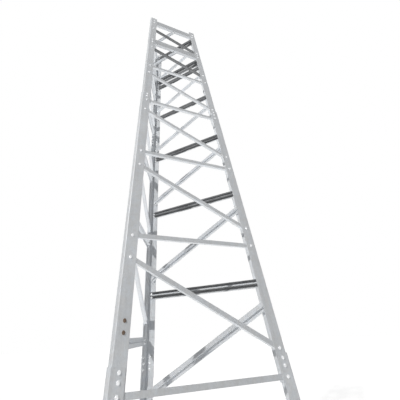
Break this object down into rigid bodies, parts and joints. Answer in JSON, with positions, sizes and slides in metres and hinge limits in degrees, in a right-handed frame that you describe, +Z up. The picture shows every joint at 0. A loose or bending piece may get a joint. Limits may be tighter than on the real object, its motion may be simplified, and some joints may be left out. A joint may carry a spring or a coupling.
{
  "type": "self-supporting radio tower",
  "caption": "Triangular self-supporting lattice radio tower with folded steel legs, bolted angle braces, wide top rails and square foot plates.",
  "frame": {"origin": "centre of the three feet's outline at ground level", "axes": "+Z up; the front face, between the left and right legs, looks along -Y; +X towards the right leg; the back leg is at +Y"},
  "size_m": [2.1572, 1.8682, 6.5085],
  "materials": {
    "leg_steel": "galvanised",
    "brace_steel": "galvanised",
    "rail_steel": "galvanised",
    "foot_steel": "galvanised"
  },
  "bodies": {
    "root": {"leg_left_1": "leg_steel", "leg_left_2": "leg_steel", "leg_left_3": "leg_steel", "leg_right_1": "leg_steel", "leg_right_2": "leg_steel", "leg_right_3": "leg_steel", "leg_back_1": "leg_steel", "leg_back_2": "leg_steel", "leg_back_3": "leg_steel", "foot_left": "foot_steel", "foot_right": "foot_steel", "foot_back": "foot_steel", "front_bay_1": "brace_steel", "front_bay_2": "brace_steel", "front_bay_3": "brace_steel", "front_bay_4": "brace_steel", "front_bay_5": "brace_steel", "front_bay_6": "brace_steel", "front_bay_7": "brace_steel", "right_bay_1": "brace_steel", "right_bay_2": "brace_steel", "right_bay_3": "brace_steel", "right_bay_4": "brace_steel", "right_bay_5": "brace_steel", "right_bay_6": "brace_steel", "left_bay_1": "brace_steel", "left_bay_2": "brace_steel", "left_bay_3": "brace_steel", "left_bay_4": "brace_steel", "left_bay_5": "brace_steel", "left_bay_6": "brace_steel", "left_bay_7": "brace_steel", "front_rail_low": "rail_steel", "front_rail_top": "rail_steel", "right_rail_low": "rail_steel", "right_rail_top": "rail_steel", "left_rail_low": "rail_steel", "left_rail_top": "rail_steel", "tie_low": "rail_steel", "tie_top": "rail_steel"}
  },
  "joints": []
}
